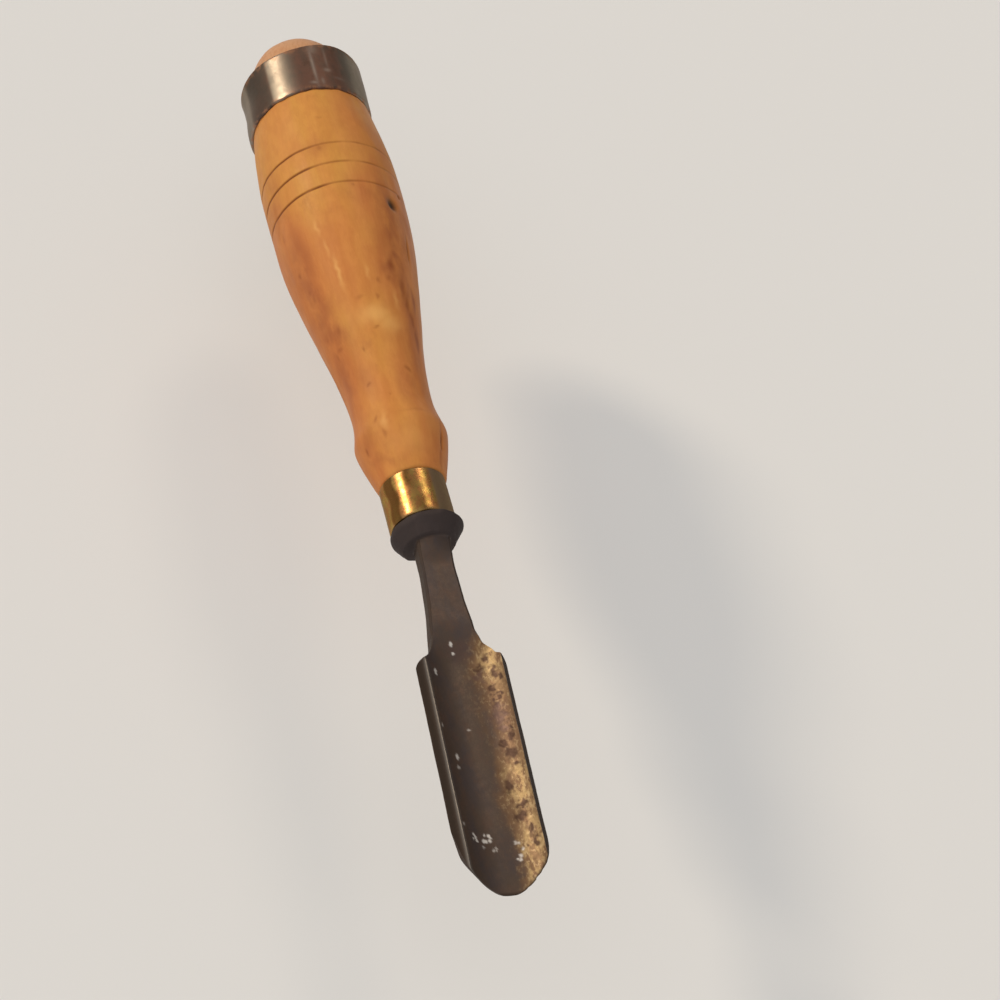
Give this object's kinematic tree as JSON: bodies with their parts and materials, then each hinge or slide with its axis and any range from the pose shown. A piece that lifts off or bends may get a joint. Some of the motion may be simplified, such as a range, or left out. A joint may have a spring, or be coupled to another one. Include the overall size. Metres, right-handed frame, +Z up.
{
  "type": "woodworking gouge",
  "caption": "Hand gouge for wood: a hollow, round-nosed steel blade on a chamfered neck, a turned wooden handle, a brass ferrule and a steel striking hoop.",
  "frame": {"origin": "middle of the tool's length, on the surface that the handle's belly lies on", "axes": "+X along the handle towards the cutting edge, +Z up out of the flute, +Y to the left when looking along +X"},
  "size_m": [0.2572, 0.0348, 0.0349],
  "materials": {
    "handle_wood": "hand-rubbed, satin",
    "hoop_steel": "dark, polished by handling",
    "ferrule_brass": "worn, polished by handling",
    "blade_steel": "dark patina with rust and pits"
  },
  "bodies": {
    "root": {"handle": "handle_wood", "striking_hoop": "hoop_steel", "ferrule": "ferrule_brass", "gouge_blade": "blade_steel"}
  },
  "joints": []
}
